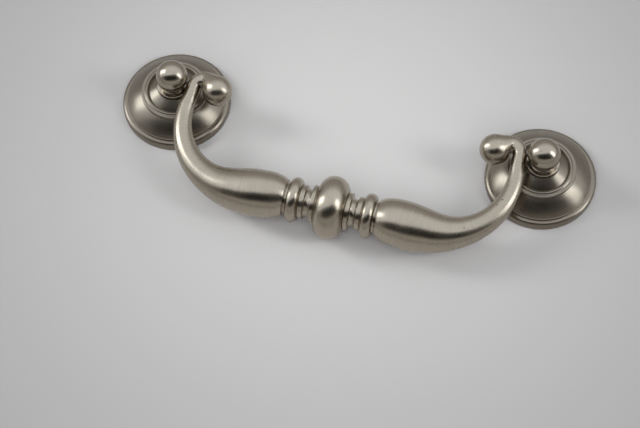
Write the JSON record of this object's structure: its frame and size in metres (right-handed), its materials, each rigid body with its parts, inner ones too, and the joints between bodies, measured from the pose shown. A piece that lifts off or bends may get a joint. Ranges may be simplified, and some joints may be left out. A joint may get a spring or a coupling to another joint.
{
  "type": "drop pull",
  "caption": "Drawer pull: a bail with a turned baluster and bellied arms swings on pins in two domed posts, each standing on a round bell-shaped rosette.",
  "frame": {"origin": "midway between the two fixing holes, on the plane of the rosettes' backs, which is the drawer front", "axes": "+X through the two fixing holes, +Z out of the drawer front, -Y down the drawer front, where the bail hangs"},
  "size_m": [0.124, 0.0461, 0.0175],
  "materials": {
    "rosette": "satin nickel, brushed in circles",
    "post": "satin nickel, nearly polished head",
    "pin": "plain drawn steel",
    "bail": "satin nickel, brushed around its length"
  },
  "bodies": {
    "mount": {"rosette_left": "rosette", "post_left": "post", "rosette_right": "rosette", "post_right": "post"},
    "bail": {"bail": "bail", "pivot_pin_left": "pin", "pivot_pin_right": "pin"}
  },
  "joints": [
    {"name": "bail_swing", "type": "hinge", "parent": "mount", "child": "bail", "pos_m": [0, 0, 0.01209], "axis": [-1, 0, 0], "range_deg": [0, 199]}
  ]
}
